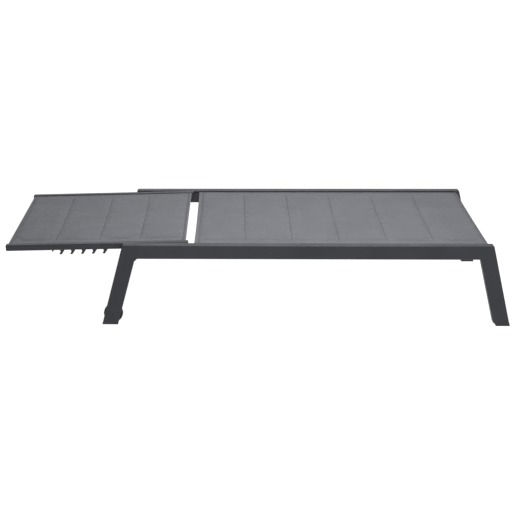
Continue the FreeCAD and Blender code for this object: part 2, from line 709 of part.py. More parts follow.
def back_tube(name, side):
    body = new_body(f"back_tube_{name}")
    length = "back_length + back_tail - 2 * cap_length"
    outline = rectangle(body, "YZ_Plane", "-back_tube / 2", "-back_tube", "back_tube / 2", "0")
    pad(body, outline, length, "One side")
    round_edges(body, lambda edge: runs_along(edge, X_AXIS), "back_tube_radius")
    hollow_with_groove(body, "back_tube", "back_tube", "back_wall", "back_groove_radius",
                       "back_groove_drop", -side, length)
    bolt_hole = circle(body, "XZ_Plane", "back_length - cap_length + arm_pivot_x",
                       f"arm_pivot_rise - {BACK_TOP}", "hinge_bolt_radius")
    pocket(body, bolt_hole, "back_tube / 2 + 1", "One side", side > 0)
    place_in_back(body, "cap_length - back_length", f"{side} * ({BACK_OUTER} - back_tube / 2)", BACK_TOP)
    keep(body, f"back_tube_{name}")


def back_cap(label, side, end):
    """A plastic cap with a rounded end and a hollow plug in the back tube; end is -1 at the head."""
    body = new_body(label)
    half = "back_tube / 2"
    outline = rectangle(body, "YZ_Plane", f"-{half}", f"-{half}", half, half)
    pad(body, outline, "cap_length", "One side", end < 0)
    round_edges(body, lambda edge: runs_along(edge, X_AXIS), "back_tube_radius")
    far = end * size("cap_length")
    round_edges(body, lambda edge: abs(edge.BoundBox.XMin - far) < 0.01
                and abs(edge.BoundBox.XMax - far) < 0.01, "cap_radius")
    groove_band = "(2 * back_groove_radius + 2 * groove_wall)"
    low = f"-{half} + back_wall + 0.2"
    inner_side = -side
    outer_y = f"{-inner_side} * ({half} - back_wall - 0.2)"
    inner_y = f"{inner_side} * ({half} - {groove_band} - 0.3)"
    plug = rectangle(body, "YZ_Plane", outer_y, low, inner_y, f"{half} - back_wall - 0.2")
    pad(body, plug, "plug_length", "One side", end > 0)
    x = "back_tail - cap_length" if end > 0 else "cap_length - back_length"
    place_in_back(body, x, f"{side} * ({BACK_OUTER} - {half})", f"back_tube_bottom + {half}")
    keep(body, label)


def back_crossbar(label, bar_x):
    """A flat tube welded between the back tubes, under the sling."""
    body = new_body(label)
    half = "back_bar_length / 2"
    outline = rectangle(body, "XZ_Plane", f"-{half}", "0", half, "back_bar_depth")
    pad(body, outline, f"2 * {BACK_INNER}")
    round_edges(body, lambda edge: runs_along(edge, Y_AXIS), "back_bar_wall * 1.5")
    hollow = rectangle(body, "XZ_Plane", f"-{half} + back_bar_wall", "back_bar_wall",
                       f"{half} - back_bar_wall", "back_bar_depth - back_bar_wall")
    pocket(body, hollow, f"2 * {BACK_INNER} + 2")
    place_in_back(body, bar_x, "0", "back_tube_bottom")
    keep(body, label)


def hinge_plate(name, side):
    """A steel plate welded under the back tube, with the hinge bore in its round end."""
    body = new_body(f"hinge_plate_{name}")
    pad(body, circle(body, "XZ_Plane", "0", "0", "hinge_plate_radius"), "hinge_plate")
    neck = rectangle(body, "XZ_Plane", "-hinge_plate_radius", "0",
                     "hinge_plate_radius", "hinge_plate_radius")
    pad(body, neck, "hinge_plate")
    trim = rectangle(body, "XZ_Plane", "-2 * hinge_plate_radius", "back_tube_bottom",
                     "2 * hinge_plate_radius", "2 * hinge_plate_radius")
    pocket(body, trim, "2 * hinge_plate")
    pocket(body, circle(body, "XZ_Plane", "0", "0", HINGE_BORE), "2 * hinge_plate")
    place_in_back(body, "0", f"{side} * ({BACK_OUTER} - hinge_plate / 2)", "0")
    keep(body, f"hinge_plate_{name}")


def hinge_hardware():
    """Bolts fixed in the rails, bearing washers in the side gap and rivet nuts in the rail wall."""
    x = "rail_head_x + hinge_x"
    z = "hinge_height"
    bolts = []
    washers = []
    nuts = []
    for name, side in SIDES:
        seat_y = f"({BACK_OUTER} - hinge_plate - washer_play)"
        bolts.append(headed_fastener(side, x, z, seat_y, HINGE_SIZES))
        low, span = span_from(side, f"{BACK_OUTER} + washer_play", RAIL_INNER)
        washers.append(ring_along_y("washer_radius", "hinge_bolt_radius", span, x, low, z))
        low, span = span_from(side, RAIL_INNER, f"{RAIL_INNER} + rivet_nut_length")
        barrel = cylinder_along_y("rivet_nut_radius", span, x, low, z)
        low, span = span_from(side, f"{RAIL_INNER} + frame_wall", f"{RAIL_INNER} + frame_wall * 2")
        bulge = cylinder_along_y("rivet_bulge_radius", span, x, low, z)
        low, span = span_from(side, RAIL_INNER, f"{RAIL_INNER} + rivet_nut_length + 1")
        bore = cylinder_along_y("hinge_bolt_radius", span, x, low, z)
        nuts.append(cut(fused(barrel, bulge), bore))
    keep(group(bolts), "hinge_bolts")
    keep(group(washers), "hinge_washers")
    keep(group(nuts), "hinge_rivet_nuts")


# ---------------------------------------------------------------- ratchet

ARM_OUTER = f"({BACK_INNER} - arm_washer - washer_play)"
ARM_INNER = f"({ARM_OUTER} - arm_thickness)"


def ratchet_arm(name, side):
    """A toothed plate that hangs from the back tube and hooks over the head crossbar."""
    body = new_body(f"ratchet_arm_{name}")
    outline = [
        ("arm_pivot_x", "arm_top"),
        ("arm_pivot_x", "arm_root_bottom"),
        ("arm_root_end", "arm_root_bottom"),
        ("arm_root_end - 4", "arm_bottom"),
        ("stop_tip_x + stop_slant", "arm_bottom"),
        ("stop_tip_x", "stop_tip_z"),
        ("stop_tip_x - stop_back", "stop_tip_z + stop_back / 2"),
        ("stop_tip_x - stop_back", "arm_bottom"),
        ("arm_end_x + arm_corner", "arm_bottom"),
        ("arm_end_x", "arm_bottom + arm_corner"),
        ("arm_end_x", "arm_top - arm_corner"),
        ("arm_end_x + arm_corner", "arm_top"),
    ]
    pad(body, polygon(body, "XZ_Plane", outline), "arm_thickness")
    pad(body, circle(body, "XZ_Plane", "arm_pivot_x", "arm_pivot_rise", "arm_boss_radius"), "arm_thickness")
    tooth_outline = [
        ("tooth_tip_x - tooth_back", "tooth_tip_z + tooth_bevel"),
        ("tooth_tip_x - tooth_back + tooth_bevel", "tooth_tip_z"),
        ("tooth_tip_x + tooth_front", "tooth_tip_z"),
        ("tooth_tip_x + tooth_front + tooth_bevel", "tooth_tip_z + tooth_bevel"),
        ("tooth_tip_x + tooth_slant", "arm_bottom + 3"),
        ("tooth_tip_x - tooth_back", "arm_bottom + 3"),
    ]
    tooth = pad(body, polygon(body, "XZ_Plane", tooth_outline), "arm_thickness")
    run = "tooth_pitch * (tooth_count - 1)"
    repeat_along_x(body, tooth, "tooth_count", run)
    seat = pocket(body, circle(body, "XZ_Plane", "tooth_tip_x - seat_back", "tooth_tip_z + seat_rise",
                               "seat_radius"), "arm_thickness * 2")
    repeat_along_x(body, seat, "tooth_count", run)
    pocket(body, circle(body, "XZ_Plane", "arm_pivot_x", "arm_pivot_rise", HINGE_BORE), "arm_thickness * 2")
    pocket(body, circle(body, "XZ_Plane", "release_x", "release_z", "release_radius"), "arm_thickness * 2")
    place_in_back(body, "0", f"{side} * ({ARM_INNER} + arm_thickness / 2)", "0")
    keep(body, f"ratchet_arm_{name}")


def release_bar():
    """The round bar that joins the free ends of the two arms."""
    body = new_body("release_bar")
    pad(body, circle(body, "XZ_Plane", "release_x", "release_z", "release_radius"), f"2 * {ARM_OUTER}")
    place_in_back(body)
    keep(body, "release_bar")


def arm_hardware():
    """Shoulder bolts in the back tubes and bearing washers between tube and arm."""
    seat_y = f"({ARM_INNER} - washer_play)"
    sizes = ("hinge_bolt_radius", f"{BACK_INNER} + back_wall * 2 - {seat_y}",
             "bolt_head_radius", "bolt_head_length", "bolt_key_radius")
    bolts = group([headed_fastener(side, "arm_pivot_x", "arm_pivot_rise", seat_y, sizes)
                   for name, side in SIDES])
    washers = []
    for name, side in SIDES:
        low, span = span_from(side, f"{ARM_OUTER} + washer_play", BACK_INNER)
        washers.append(ring_along_y("washer_radius - 1", "hinge_bolt_radius", span,
                                    "arm_pivot_x", low, "arm_pivot_rise"))
    place_in_back(bolts)
    place_in_back(keep(group(washers), "arm_washers"))
    keep(bolts, "arm_bolts")


# ---------------------------------------------------------------- wheels

def place_wheel(body, side):
    place_in_base(body, "axle_x", f"{side} * {RAIL_MIDDLE}", "axle_height")


def wheel_hub(name, side):
    """A moulded hub: boss, thin web and rim around the axle line."""
    body = new_body(f"wheel_hub_{name}")
    bore = "(axle_radius + running_gap)"
    boss = "(spacer_radius + 1.5)"
    rim_inside = "(hub_radius - 4)"
    half_boss = "hub_width / 2"
    half_rim = "wheel_width / 2 - 1"
    half_web = "wheel_width / 6"
    upper = [
        (half_boss, bore),
        (half_boss, boss),
        (half_web, boss),
        (half_web, rim_inside),
        (half_rim, rim_inside),
        (half_rim, "hub_radius"),
    ]
    mirrored = [(f"-({y})", z) for y, z in reversed(upper)]
    revolved(body, polygon(body, "YZ_Plane", upper + mirrored))
    place_wheel(body, side)
    keep(body, f"wheel_hub_{name}")


def wheel_tyre(name, side):
    """A solid rubber tyre with rounded shoulders."""
    body = new_body(f"wheel_tyre_{name}")
    half = "wheel_width / 2"
    outline = rectangle(body, "YZ_Plane", f"-{half}", "hub_radius", half, "wheel_radius")
    revolved(body, outline)
    tread = size("wheel_radius")
    round_edges(body, lambda edge: abs(edge.BoundBox.ZMax - tread) < 0.01 and len(edge.Vertexes) == 1,
                "tyre_shoulder_radius")
    place_wheel(body, side)
    keep(body, f"wheel_tyre_{name}")


def axle_hardware():
    """Headed axles through the leg forks, and spacers that centre the hubs."""
    x = "rail_head_x + axle_x"
    axles = []
    spacers = []
    for name, side in SIDES:
        low, span = span_from(side, RAIL_INNER, "overall_width / 2")
        shaft = cylinder_along_y("axle_radius", span, x, low, "axle_height")
        low, span = span_from(side, f"{RAIL_INNER} - axle_head_length", RAIL_INNER)
        head = cylinder_along_y("axle_head_radius", span, x, low, "axle_height")
        axles.append(fused(shaft, head))
        hub_inner = f"({RAIL_MIDDLE} - hub_width / 2 - washer_play)"
        hub_outer = f"({RAIL_MIDDLE} + hub_width / 2 + washer_play)"
        for near, far in ((f"{RAIL_INNER} + frame_wall", hub_inner),
                          (hub_outer, "overall_width / 2 - frame_wall")):
            low, span = span_from(side, near, far)
            spacers.append(ring_along_y("spacer_radius", "axle_radius", span, x, low, "axle_height"))
    keep(group(axles), "wheel_axles")
    keep(group(spacers), "wheel_spacers")


# ---------------------------------------------------------------- the whole lounger

def build():
    for name, side in SIDES:
        side_rail(name, side)
        leg(name, side, "head")
        leg(name, side, "foot")
        head_glide(name, side)
        foot_glide(name, side)
        seat_keder(name, side)
        wheel_hub(name, side)
        wheel_tyre(name, side)
        back_tube(name, side)
        back_cap(f"back_head_cap_{name}", side, -1)
        back_cap(f"back_foot_cap_{name}", side, 1)
        back_keder(name, side)
        hinge_plate(name, side)
        ratchet_arm(name, side)
    head_crossbar()
    rest_sleeves()
    seat_crossbar("hinge_crossbar", "hinge_bar_x")
    seat_crossbar("middle_crossbar", "middle_bar_x")
    seat_crossbar("foot_crossbar", "foot_bar_x")
    crossbar_screws()
    seat_sling()
    back_sling()
    back_crossbar("back_head_crossbar", "back_head_bar_x")
    back_crossbar("back_middle_crossbar", "back_middle_bar_x")
    back_crossbar("back_lower_crossbar", "back_lower_bar_x")
    hinge_hardware()
    release_bar()
    arm_hardware()
    axle_hardware()


def failures():
    """Names of objects that did not compute, and of sub-parts without a valid shape."""
    bad = [item.Name for item in document.Objects if {"Invalid", "Error"} & set(item.State)]
    for item in subparts:
        if item.Shape.isNull() or not item.Shape.isValid() or item.Shape.Volume <= 0:
            bad.append(item.Label)
    return bad


build()
document.recompute()
broken = failures()
if broken:
    raise RuntimeError("not computed: " + ", ".join(broken))

os.makedirs("parts", exist_ok=True)
for item in subparts:
    item.Shape.exportStep(os.path.join("parts", item.Label + ".step"))
    print(f"{item.Label}: {len(item.Shape.Solids)} solid(s), {item.Shape.Volume / 1000:.1f} cm3")
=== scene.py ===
import json
import math

import bpy
import numpy as np
from mathutils import Euler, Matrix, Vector, noise


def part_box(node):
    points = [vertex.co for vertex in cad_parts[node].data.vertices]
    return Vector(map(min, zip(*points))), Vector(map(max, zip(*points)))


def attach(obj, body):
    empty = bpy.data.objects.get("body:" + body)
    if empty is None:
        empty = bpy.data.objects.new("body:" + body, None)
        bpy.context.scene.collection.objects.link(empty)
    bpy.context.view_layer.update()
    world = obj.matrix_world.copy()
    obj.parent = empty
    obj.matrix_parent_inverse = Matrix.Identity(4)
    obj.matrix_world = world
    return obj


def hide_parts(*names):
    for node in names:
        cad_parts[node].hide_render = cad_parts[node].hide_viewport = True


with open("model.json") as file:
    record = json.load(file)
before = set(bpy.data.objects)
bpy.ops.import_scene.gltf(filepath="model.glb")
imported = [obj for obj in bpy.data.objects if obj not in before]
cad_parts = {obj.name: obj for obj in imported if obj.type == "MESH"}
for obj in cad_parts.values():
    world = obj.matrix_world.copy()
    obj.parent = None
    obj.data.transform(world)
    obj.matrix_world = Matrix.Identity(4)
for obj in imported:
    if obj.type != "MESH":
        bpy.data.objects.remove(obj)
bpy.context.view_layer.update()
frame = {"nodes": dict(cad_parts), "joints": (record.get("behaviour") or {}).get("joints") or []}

MM = 0.001

# ------------------------------------------------------------------ named values

# camera, in metres and degrees
CAMERA_PLACE = (-0.0916, -3.7050, 1.7651)
CAMERA_PITCH = 21.312
CAMERA_YAW = 1.748
CAMERA_ROLL = -0.5545
CAMERA_LENS = 67.806
CAMERA_SENSOR = 36.0
CAMERA_SHIFT = (0.0973, -0.0756)

# studio
FLOOR_SIDE = 60.0
WORLD_STRENGTH = 0.3
FLOOR_ALBEDO = 0.15
FLOOR_GLOW = 0.98
KEY_LIGHT = {"place": (0.22, -0.5, 2.1), "aim": (0.2, 0.0, 0.3), "size": (1.2, 1.2), "watts": 56.0}
FILL_LIGHT = {"place": (1.5, -3.0, 1.9), "aim": (0.1, 0.0, 0.3), "size": (2.2, 2.2), "watts": 22.0}
BACK_LIGHT = {"place": (-0.3, 3.4, 1.7), "aim": (-0.3, 0.0, 0.33), "size": (5.0, 1.5), "watts": 38.0}

# sling fabric, in metres
YARN_PITCH = 1.5 * MM
WEB_HALF = 0.8 * MM
HEM_HALF = 1.8 * MM
GRID = 9 * MM
CREASE = (1.2 * MM, 3.2 * MM)
PAD_RAMP = 10 * MM
SIDE_RAMP = 1.3
FILLING_BELOW = 0.7
START_RISE = 2.2 * MM
TOP_RISE = 4.8 * MM
BOTTOM_RISE = 3.0 * MM
CLOTH_FRAMES = 20
CLOTH_PRESSURE = 4.0
CLOTH_EXTRA = -0.02
CLOTH_CAP = 5 * MM
BOW_REACH = 70 * MM
FAINT_WRINKLE = 0.3 * MM
FAINT_RIPPLE = 0.2 * MM

# stitches
STITCH_LENGTH = 3.4 * MM
STITCH_PITCH = 4.8 * MM
THREAD_RADIUS = 0.85 * MM
THREAD_SIDES = 6
STITCH_RINGS = ((-0.5, 0.35, -0.35), (-0.2, 1.0, 0.25), (0.2, 1.0, 0.25), (0.5, 0.35, -0.35))
THREAD_FLATNESS = 0.8
HEM_ROWS = 4.5 * MM
HEM_ROW_INSET = 4 * MM

JOINTS = {joint["name"]: joint for joint in frame["joints"]}
HINGE = Vector(JOINTS["back_recline"]["pos_m"])
BACK_DROOP = math.radians(1.4)

# sewn lines and ends: the seat's from the origin, the back's from the hinge line with the back level
SEAT_SEAMS = (-0.052, 0.129, 0.309, 0.493, 0.671)
SEAT_HEMS = (-0.228, 0.858)
SEAT_QUILT_HALF = 0.253
SEAT_BOWS = (1.5 * MM, 0.5 * MM)
SEAT_SAG = 2.5 * MM
SEAT_WEB_RISE = 4 * MM
BACK_SEAMS = (-0.500, -0.331, -0.172)
BACK_HEMS = (-0.667, -0.006)
BACK_QUILT_HALF = 0.240
BACK_ENDS = (-0.6825, 0.007)
BACK_BOWS = (0.0, 0.5 * MM)
BACK_SAG = 0.0
BACK_GROOVE_RISE = 26.5 * MM


def linear(level):
    share = level / 255
    return share / 12.92 if share <= 0.04045 else ((share + 0.055) / 1.055) ** 2.4


def shade(red, green, blue):
    """A colour given in display levels from 0 to 255."""
    return (linear(red), linear(green), linear(blue), 1.0)


# ------------------------------------------------------------------ camera, lights and floor

def make_camera():
    data = bpy.data.cameras.new("camera")
    data.lens = CAMERA_LENS
    data.sensor_width = CAMERA_SENSOR
    data.shift_x, data.shift_y = CAMERA_SHIFT
    data.clip_end = 200
    camera = bpy.data.objects.new("camera", data)
    camera.location = CAMERA_PLACE
    yaw = Euler((0, 0, math.radians(CAMERA_YAW))).to_matrix()
    pitch = Euler((math.radians(90 - CAMERA_PITCH), 0, 0)).to_matrix()
    roll = Euler((0, 0, math.radians(CAMERA_ROLL))).to_matrix()
    camera.rotation_euler = (yaw @ pitch @ roll).to_euler()
    bpy.context.scene.collection.objects.link(camera)
    bpy.context.scene.camera = camera


def make_area_light(name, settings):
    data = bpy.data.lights.new(name, "AREA")
    data.shape = "RECTANGLE"
    data.size, data.size_y = settings["size"]
    data.energy = settings["watts"]
    lamp = bpy.data.objects.new(name, data)
    lamp.location = settings["place"]
    direction = Vector(settings["aim"]) - Vector(settings["place"])
    lamp.rotation_euler = direction.to_track_quat("-Z", "Y").to_euler()
    bpy.context.scene.collection.objects.link(lamp)


def make_world():
    world = bpy.data.worlds.new("studio")
    world.use_nodes = True
    background = world.node_tree.nodes["Background"]
    background.inputs["Color"].default_value = (1.0, 1.0, 1.0, 1.0)
    background.inputs["Strength"].default_value = WORLD_STRENGTH
    bpy.context.scene.world = world
    bpy.context.scene.view_settings.view_transform = "Standard"


def make_floor():
    material, tree, shader = start_material("pale_floor")
    shader.inputs["Base Color"].default_value = (FLOOR_ALBEDO, FLOOR_ALBEDO, FLOOR_ALBEDO, 1.0)
    shader.inputs["Roughness"].default_value = 0.9
    shader.inputs["Specular IOR Level"].default_value = 0.1
    shader.inputs["Emission Color"].default_value = (1.0, 1.0, 1.0, 1.0)
    shader.inputs["Emission Strength"].default_value = FLOOR_GLOW
    half = FLOOR_SIDE / 2
    corners = [(-half, -half, 0), (half, -half, 0), (half, half, 0), (-half, half, 0)]
    mesh = bpy.data.meshes.new("floor")
    mesh.from_pydata(corners, [], [(0, 1, 2, 3)])
    mesh.materials.append(material)
    floor = bpy.data.objects.new("floor", mesh)
    bpy.context.scene.collection.objects.link(floor)


# ------------------------------------------------------------------ node helpers

def start_material(name):
    material = bpy.data.materials.new(name)
    material.use_nodes = True
    tree = material.node_tree
    return material, tree, tree.nodes["Principled BSDF"]


def add_node(tree, kind, values=None, links=None, **settings):
    node = tree.nodes.new("ShaderNode" + kind)
    for name, value in settings.items():
        setattr(node, name, value)
    for socket, value in (values or {}).items():
        node.inputs[socket].default_value = value
    for socket, source in (links or {}).items():
        tree.links.new(source, node.inputs[socket])
    return node


def compute(tree, operation, *terms):
    """The output of a Math node whose terms are numbers or sockets."""
    node = tree.nodes.new("ShaderNodeMath")
    node.operation = operation
    for index, term in enumerate(terms):
        if isinstance(term, (int, float)):
            node.inputs[index].default_value = term
        else:
            tree.links.new(term, node.inputs[index])
    return node.outputs[0]


def place_in_object(tree):
    return add_node(tree, "TexCoord").outputs["Object"]


def stretched(tree, place, factors):
    node = add_node(tree, "Mapping", {"Scale": factors}, {"Vector": place})
    return node.outputs["Vector"]


def noise_at(tree, place, scale, detail=3.0, roughness=0.5):
    values = {"Scale": scale, "Detail": detail, "Roughness": roughness}
    return add_node(tree, "TexNoise", values, {"Vector": place}).outputs["Fac"]


def spread(tree, source, low, high, from_low=0.3, from_high=0.7):
    values = {"From Min": from_low, "From Max": from_high, "To Min": low, "To Max": high}
    return add_node(tree, "MapRange", values, {"Value": source}).outputs["Result"]


def between(tree, share, first, second):
    """A colour between two shades."""
    node = tree.nodes.new("ShaderNodeMix")
    node.data_type = "RGBA"
    tree.links.new(share, node.inputs["Factor"])
    colour_inputs = [item for item in node.inputs if item.type == "RGBA"]
    colour_inputs[0].default_value = first
    colour_inputs[1].default_value = second
    return next(item for item in node.outputs if item.type == "RGBA")


def bump(tree, shader, height, strength, distance):
    values = {"Strength": strength, "Distance": distance}
    node = add_node(tree, "Bump", values, {"Height": height})
    tree.links.new(node.outputs["Normal"], shader.inputs["Normal"])


# ------------------------------------------------------------------ materials

def powder_coat(name, dark, light, roughness):
    """Fine-textured powder coat: orange-peel grain, faint flow marks and rub marks."""
    material, tree, shader = start_material(name)
    place = place_in_object(tree)
    grain = noise_at(tree, place, 950.0, 2.0)
    speckle = noise_at(tree, place, 420.0, 4.0, 0.7)
    cloud = noise_at(tree, place, 5.0, 4.0, 0.6)
    mottled = compute(tree, "ADD", compute(tree, "MULTIPLY", speckle, 0.45),
                      compute(tree, "MULTIPLY", cloud, 0.55))
    colour = between(tree, spread(tree, mottled, 0.0, 1.0, 0.38, 0.62), dark, light)
    tree.links.new(colour, shader.inputs["Base Color"])
    rubbed = noise_at(tree, stretched(tree, place, (1.0, 6.0, 6.0)), 9.0, 5.0, 0.65)
    finish = spread(tree, rubbed, roughness - 0.07, roughness + 0.07)
    tree.links.new(finish, shader.inputs["Roughness"])
    shader.inputs["Specular IOR Level"].default_value = 0.35
    bump(tree, shader, grain, 0.35, 0.12 * MM)
    return material


def moulded_plastic(name, dark, light, roughness, grain_scale):
    """Spark-eroded moulded plastic with a faint flow pattern."""
    material, tree, shader = start_material(name)
    place = place_in_object(tree)
    grain = noise_at(tree, place, grain_scale, 5.0, 0.6)
    flow = noise_at(tree, stretched(tree, place, (8.0, 8.0, 24.0)), 3.0, 3.0)
    tree.links.new(between(tree, spread(tree, flow, 0.0, 1.0), dark, light), shader.inputs["Base Color"])
    tree.links.new(spread(tree, grain, roughness - 0.06, roughness + 0.08), shader.inputs["Roughness"])
    shader.inputs["Specular IOR Level"].default_value = 0.4
    bump(tree, shader, grain, 0.3, 0.1 * MM)
    return material


def rubber(name, dark, light, dust):
    """Matt rubber with mould grain and a little dust."""
    material, tree, shader = start_material(name)
    place = place_in_object(tree)
    grain = noise_at(tree, place, 700.0, 4.0, 0.6)
    dusty = noise_at(tree, place, 38.0, 5.0, 0.65)
    colour = between(tree, spread(tree, dusty, 0.0, dust, 0.45, 0.75), dark, light)
    tree.links.new(colour, shader.inputs["Base Color"])
    tree.links.new(spread(tree, dusty, 0.72, 0.9), shader.inputs["Roughness"])
    shader.inputs["Specular IOR Level"].default_value = 0.3
    bump(tree, shader, grain, 0.4, 0.15 * MM)
    return material


def plated_steel(name, dark, light):
    """Zinc-plated steel with turning marks."""
    material, tree, shader = start_material(name)
    place = place_in_object(tree)
    marks = noise_at(tree, stretched(tree, place, (30.0, 400.0, 30.0)), 8.0, 4.0)
    cloud = noise_at(tree, place, 160.0, 3.0)
    tree.links.new(between(tree, spread(tree, cloud, 0.0, 1.0), dark, light), shader.inputs["Base Color"])
    tree.links.new(spread(tree, marks, 0.28, 0.46), shader.inputs["Roughness"])
    shader.inputs["Metallic"].default_value = 1.0
    bump(tree, shader, marks, 0.2, 0.05 * MM)
    return material


def weave(tree, place, pitch):
    """Height of a plain weave in the XY plane, and 1 where the crosswise strand lies on top."""
    parts = add_node(tree, "SeparateXYZ", None, {"Vector": place})
    turns = math.pi / pitch
    across = compute(tree, "SINE", compute(tree, "MULTIPLY", parts.outputs["X"], turns))
    along = compute(tree, "SINE", compute(tree, "MULTIPLY", parts.outputs["Y"], turns))
    crosswise = compute(tree, "GREATER_THAN", compute(tree, "MULTIPLY", across, along), 0.0)
    high_across = compute(tree, "ABSOLUTE", across)
    high_along = compute(tree, "ABSOLUTE", along)
    difference = compute(tree, "SUBTRACT", high_across, high_along)
    height = compute(tree, "ADD", high_along, compute(tree, "MULTIPLY", difference, crosswise))
    return height, crosswise


def sling_fabric(name, dark, light, painted_gap_shade):
    """Woven outdoor fabric: plain weave, strands of slightly different greys, soft clouds and sheen, and
    painted shade in the gaps between strands.
    """
    material, tree, shader = start_material(name)
    place = place_in_object(tree)
    height, crosswise = weave(tree, place, YARN_PITCH)
    warp = noise_at(tree, stretched(tree, place, (14.0, 640.0, 60.0)), 1.0, 2.0, 0.6)
    weft = noise_at(tree, stretched(tree, place, (640.0, 14.0, 60.0)), 1.0, 2.0, 0.6)
    difference = compute(tree, "SUBTRACT", weft, warp)
    streak = compute(tree, "ADD", warp, compute(tree, "MULTIPLY", difference, crosswise))
    cloud = noise_at(tree, place, 7.0, 4.0, 0.6)
    slub = noise_at(tree, place, 120.0, 3.0, 0.6)
    mottled = compute(tree, "ADD", compute(tree, "MULTIPLY", streak, 0.5),
                      compute(tree, "ADD", compute(tree, "MULTIPLY", cloud, 0.3),
                              compute(tree, "MULTIPLY", slub, 0.2)))
    colour = between(tree, spread(tree, mottled, 0.0, 1.0, 0.36, 0.64), dark, light)
    # painted shade: where the weave height is low, between the strands, the colour turns to the darker gap
    # shade
    gap_shade_mix = add_node(tree, "Mix", data_type="RGBA")
    colours = [item for item in gap_shade_mix.inputs if item.type == "RGBA"]
    tree.links.new(spread(tree, height, 0.0, 1.0, 0.05, 0.55), gap_shade_mix.inputs["Factor"])
    colours[0].default_value = painted_gap_shade
    tree.links.new(colour, colours[1])
    tree.links.new(next(item for item in gap_shade_mix.outputs if item.type == "RGBA"), shader.inputs["Base Color"])
    tree.links.new(spread(tree, slub, 0.78, 0.92), shader.inputs["Roughness"])
    shader.inputs["Specular IOR Level"].default_value = 0.2
    shader.inputs["Sheen Weight"].default_value = 0.08
    shader.inputs["Sheen Roughness"].default_value = 0.5
    surface = compute(tree, "ADD", height, compute(tree, "MULTIPLY", slub, 0.6))
    bump(tree, shader, surface, 0.35, 0.25 * MM)
    return material


def sewing_thread(name, dark, light):
    """Twisted sewing thread; its dark colours are partly the thread's own and partly painted shade of the
    seam crease.
    """
    material, tree, shader = start_material(name)
    place = place_in_object(tree)
    twist = noise_at(tree, stretched(tree, place, (900.0, 2600.0, 900.0)), 1.0, 1.0)
    tree.links.new(between(tree, spread(tree, twist, 0.0, 1.0), dark, light), shader.inputs["Base Color"])
    shader.inputs["Roughness"].default_value = 0.7
    bump(tree, shader, twist, 0.4, 0.1 * MM)
    return material


def make_materials():
    return {
        "frame": powder_coat("anthracite_powder_coat", shade(36, 37, 43), shade(43, 44, 51), 0.46),
        "coated_steel": powder_coat("graphite_coated_steel", shade(33, 33, 35), shade(39, 39, 42), 0.5),
        # the third fabric colour is painted shade for the gaps between the woven strands
        "sling_fabric": sling_fabric("grey_sling_fabric", shade(88, 89, 93), shade(104, 105, 110),
                                     shade(61, 62, 66)),
        "dark_plastic": moulded_plastic("dark_cap_plastic", shade(32, 32, 34), shade(38, 38, 40), 0.5, 620.0),
        "hub_plastic": moulded_plastic("wheel_hub_plastic", shade(28, 28, 30), shade(34, 34, 36), 0.5, 520.0),
        "tyre": rubber("tyre_rubber", shade(28, 28, 30), shade(58, 57, 56), 0.3),
        "rubber": rubber("sleeve_rubber", shade(36, 36, 38), shade(60, 60, 61), 0.25),
        "nylon": moulded_plastic("glide_nylon", shade(40, 40, 43), shade(48, 48, 51), 0.55, 480.0),
        "steel": plated_steel("plated_steel", shade(150, 150, 152), shade(176, 176, 178)),
        # thread shades darker than a matching thread: partly the thread's own colour, partly painted shade of
        # the seam crease
        "thread": sewing_thread("seam_thread_with_painted_shade", shade(24, 25, 28), shade(36, 37, 41)),
    }


# ------------------------------------------------------------------ slings

def smooth(share):
    share = np.clip(share, 0.0, 1.0)
    return share * share * (3 - 2 * share)


def stations(lines):
    """Grid lines from the first to the last sewn line, closer together beside each of them."""
    places = [lines[0]]
    for start, end in zip(lines, lines[1:]):
        inner_start = start + CREASE[-1]
        inner_end = end - CREASE[-1]
        if inner_end - inner_start > GRID:
            count = round((inner_end - inner_start) / GRID)
            places += [start + step for step in CREASE[:-1]]
            places += list(np.linspace(inner_start, inner_end, count + 1))
            places += [end - step for step in reversed(CREASE[:-1])]
        else:
            places += list(np.linspace(start, end, 5)[1:-1])
        places.append(end)
    return np.array(places)


def sheet_of_two_layers(columns, rows, top, bottom):
    """Vertices and quads of a closed shell; top and bottom are heights on the grid."""
    count_x, count_y = len(columns), len(rows)
    grid_x, grid_y = np.meshgrid(columns, rows, indexing="ij")
    upper = np.stack([grid_x, grid_y, top], axis=-1).reshape(-1, 3)
    lower = np.stack([grid_x, grid_y, bottom], axis=-1).reshape(-1, 3)
    below = count_x * count_y
    faces = []
    for i in range(count_x - 1):
        for j in range(count_y - 1):
            a, b = i * count_y + j, (i + 1) * count_y + j
            faces.append((a, b, b + 1, a + 1))
            faces.append((below + a + 1, below + b + 1, below + b, below + a))
    for i in range(count_x - 1):
        a, b = i * count_y, (i + 1) * count_y
        faces.append((b, a, below + a, below + b))
        faces.append((a + count_y - 1, b + count_y - 1, below + b + count_y - 1, below + a + count_y - 1))
    for j in range(count_y - 1):
        faces.append((j, j + 1, below + j + 1, below + j))
        end = (count_x - 1) * count_y + j
        faces.append((end + 1, end, below + end, below + end + 1))
    return np.concatenate([upper, lower]), faces


